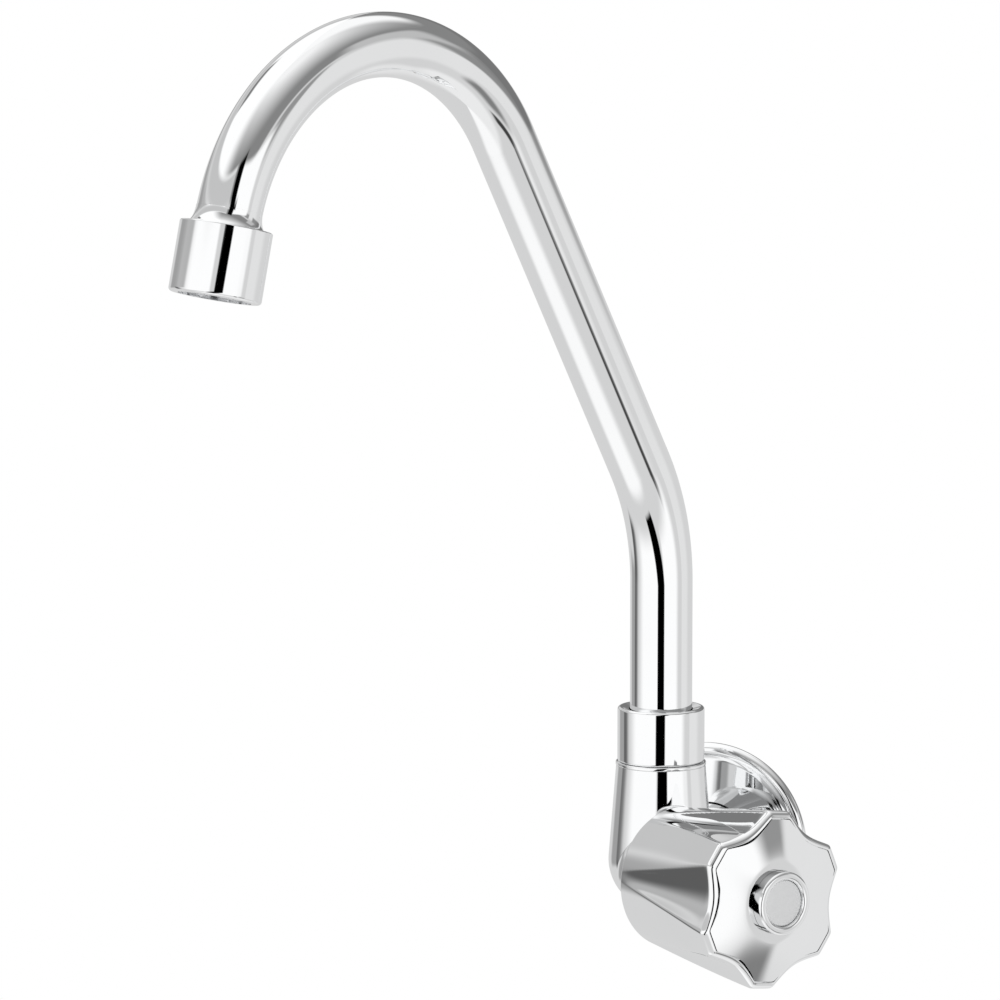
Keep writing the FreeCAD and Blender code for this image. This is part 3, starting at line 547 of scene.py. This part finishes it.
# Aerator: a chromed brass housing screwed on the tube's end. It holds a white moulded insert that
# mixes air into the water, and a fine steel screen that keeps grit back.
COVE_STEPS = 12
outlet_axis = spout_plane @ axis_frame(Vector((0, 1, 0)), -outlet_way, outlet_tip * MM)
aerator_r = 12.7
aerator_h = 19.6
aerator_cap = 2
aerator_lip = 0.9
aerator_foot_round = 1
aerator_top_round = 0.4
aerator_bore_r = 10.9
aerator_bore_end = aerator_h - aerator_cap
aerator_mouth_r = aerator_bore_r - aerator_lip
cove_r = 10.8
cove_h = 4.6
collar_r = tube_r + fit_gap
housing_shell = turned(
    [(aerator_mouth_r, 0), (aerator_r, 0), (aerator_r, aerator_h)]
    + [(cove_r + (cove_r - collar_r) * across, aerator_h + cove_h * (1 + up))
       for across, up in arc(0, 0, 1, 270, 182, COVE_STEPS)]
    + [(collar_r, aerator_h + cove_h), (collar_r, aerator_bore_end), (aerator_bore_r, aerator_bore_end),
       (aerator_bore_r, aerator_lip), (aerator_mouth_r, aerator_lip)],
    outlet_axis, [(aerator_r, 0, aerator_foot_round), (aerator_r, aerator_h, aerator_top_round)])
piece("aerator_shell", chrome, "spout", "chrome", "aerator_housing", housing_shell)

# Studio: a pale floor well below the faucet, a soft lamp from above, and a surround of white and grey
# panels with black gaps, seen only in the metal. The camera stands to the right with a long lens.
camera_turn = math.radians(23)
camera_dip = math.radians(8)
camera_shift = -46.59
camera_lift = 106.4
camera_reach = 2032
camera_right = Vector((math.cos(camera_turn), math.sin(camera_turn), 0))
camera_front = Vector((math.sin(camera_turn), -math.cos(camera_turn), 0))
camera_back = camera_front * math.cos(camera_dip) + UP * math.sin(camera_dip)
camera_up = UP * math.cos(camera_dip) - camera_front * math.sin(camera_dip)
camera_data = bpy.data.cameras.new("studio_camera")
camera_data.sensor_width = 36
camera_data.lens = 252
camera = bpy.data.objects.new("studio_camera", camera_data)
camera_spot = swivel_foot + (camera_right * camera_shift + camera_up * camera_lift
                             + camera_back * camera_reach) * MM
facing = Matrix((camera_right, camera_up, camera_back)).transposed().to_4x4()
camera.matrix_world = Matrix.Translation(camera_spot) @ facing
bpy.context.scene.collection.objects.link(camera)
bpy.context.scene.camera = camera

floor_half = 0.5
floor_drop = 0.25
floor_shape = bmesh.new()
bmesh.ops.create_grid(floor_shape, x_segments=1, y_segments=1, size=floor_half)
bmesh.ops.translate(floor_shape, vec=(0, 0, cad_box[0].z - floor_drop), verts=floor_shape.verts)
floor_mesh = bpy.data.meshes.new("studio_floor")
floor_shape.to_mesh(floor_mesh)
floor_shape.free()
floor = bpy.data.objects.new("studio_floor", floor_mesh)
bpy.context.scene.collection.objects.link(floor)
floor_paint = bpy.data.materials.new("pale_floor")
floor_paint.use_nodes = True
floor_tree = floor_paint.node_tree
floor_shader = floor_tree.nodes["Principled BSDF"]
for name, value in (("Base Color", (0.85, 0.85, 0.85, 1)), ("Roughness", 0.9),
                    ("Emission Color", (1, 1, 1, 1)), ("Emission Strength", 0.5)):
    floor_shader.inputs[name].default_value = value
seen = Shade(floor_tree, floor_shader.outputs[0])
clear = seen.make("ShaderNodeBsdfTransparent")
mirrored = seen.make("ShaderNodeLightPath", output="Is Glossy Ray")
floor_look = seen.make("ShaderNodeMixShader", inputs={0: mirrored, 1: seen, 2: clear})
floor_look.feeds(floor_tree.nodes["Material Output"], "Surface")
floor_mesh.materials.append(floor_paint)

world = bpy.data.worlds.new("studio")
bpy.context.scene.world = world
world.use_nodes = True
way = Shade(world.node_tree).make("ShaderNodeTexCoord", output="Generated")


def towards(direction):
    return way.make("ShaderNodeVectorMath", {"operation": "DOT_PRODUCT"},
                    {0: way, 1: direction}, output=1)


turn_right = way.maths("ARCTAN2", towards(camera_right), towards(camera_front)) * math.degrees(1)
rise = way.make("ShaderNodeMath", {"operation": "ARCSINE"}, {0: towards(UP)}) * math.degrees(1)


def ramp(value, edge):
    """From 0 to 1, smoothly, over an edge: its place and its blur to either side, in degrees."""
    place, blur = edge
    return value.make("ShaderNodeMapRange", {"interpolation_type": "SMOOTHSTEP"},
                      {"Value": value, "From Min": place - blur, "From Max": place + blur})


def panel(tone, paint, left, right, bottom, top, across=turn_right, along=rise):
    """Paints the part of the surround that lies between four edges."""
    mask = (ramp(across, left) - ramp(across, right)) * (ramp(along, bottom) - ramp(along, top))
    return tone + (paint - tone) * mask


NO_EDGE = (-400, 1)
NO_END = (400, 1)
ceiling = rise.make("ShaderNodeMapRange", inputs={
    "Value": rise, "From Min": 35, "From Max": 77, "To Min": 0.24, "To Max": 0.94})
gap_lean = 0.62
leaning = turn_right - gap_lean * rise
window_slope = 0.36
slanting = rise + window_slope * turn_right


def lower_panels(tone):
    """White paper under the faucet, and two dark slots low on the right."""
    tone = panel(tone, 0.22, (60, 4), (78, 3), (-40, 5), (-26, 4))
    tone = panel(tone, 0.86, (-90, 12), (165, 18), NO_EDGE, (-53, 5))
    tone = panel(tone, 0.80, (120, 8), (165, 18), (-60, 8), (-33, 5))
    tone = panel(tone, 1.0, (-85, 14), (-5, 16), NO_EDGE, (-51, 6))
    return panel(tone, 0.05, (45, 2), (54, 2), (-46, 3), (-24, 3))


def side_panels(tone):
    """Greys far to the right, behind and far to the left, and two white screens in front."""
    tone = panel(tone, 0.30, (62, 6), (80, 2), (5, 3), (16, 2))
    tone = panel(tone, 0.78, (80, 2), (112, 10), (-32, 6), (12, 3))
    tone = panel(tone, 0.27, (97, 4), (124, 8), (4, 2), (20, 6))
    tone = panel(tone, 0.19, (118, 8), NO_END, (3.2, 2), (25, 4))
    tone = panel(tone, 0.30, NO_EDGE, (-140, 8), (5, 2), (10, 2))
    tone = panel(tone, 0.36, (-142, 6), (-110, 6), (-14, 3), (14, 5))
    tone = panel(tone, 0.11, (-117, 3), (-100, 8), (-30, 4), (2, 17))
    tone = panel(tone, 1.03, (-82, 14), (-12, 3), (-30, 8), (19, 2))
    tone = panel(tone, 0.46, (-120, 5), (-84, 5), (7, 7), (16, 2))
    return panel(tone, 1.03, (8, 3), (60, 8), (-26, 6), (15, 2))


def upper_panels(tone):
    """A white roof on the left, a ceiling on the right that pales upwards, and a slanted window."""
    tone = panel(tone, 0.56, NO_EDGE, (-3, 3), (20, 3), (33, 2))
    tone = panel(tone, 1.05, NO_EDGE, NO_END, (33, 2), NO_END)
    tone = panel(tone, 0.20, (-150, 3), (-126, 3), (33.5, 2), (43, 3))
    tone = panel(tone, ceiling, (-38, 24), NO_END, (34, 2), NO_END)
    tone = panel(tone, ceiling, (-2, 3), NO_END, (19.5, 2), (36, 2))
    tone = panel(tone, 0.52, (82, 4), (112, 6), (16, 4), (31, 3))
    tone = panel(tone, 1.0, (138, 14), NO_END, (37, 4), NO_END)
    return panel(tone, 1.03, (18, 2.5), (68, 4), (20, 4), (35.6, 2), along=slanting)


def black_gap(tone):
    """The gap between the two screens, which leans below and stands upright above."""
    tone = panel(tone, 0.0, (-9, 1.5), (15.5, 1.5), (-40, 2), (15, 2), across=leaning)
    return panel(tone, 0.0, (3, 2), (19, 2), (12, 2), (34, 2))


room_tone = 0.67
tone = black_gap(upper_panels(side_panels(lower_panels(room_tone))))
watched = way.make("ShaderNodeLightPath", output="Is Camera Ray")
(tone + (1 - tone) * watched).feeds(world.node_tree.nodes["Background"], "Color")

lamp_data = bpy.data.lights.new("soft_lamp", "AREA")
lamp_data.energy = 12
lamp_data.size = 1.2
lamp = bpy.data.objects.new("soft_lamp", lamp_data)
lamp.location = (0.3, -0.9, 1.6)
lamp_back = Vector((0.3, -0.8, 1.5))
lamp.rotation_euler = lamp_back.to_track_quat("Z", "Y").to_euler()
lamp.visible_glossy = False
lamp.visible_camera = False
bpy.context.scene.collection.objects.link(lamp)
bpy.context.scene.view_settings.view_transform = "Standard"
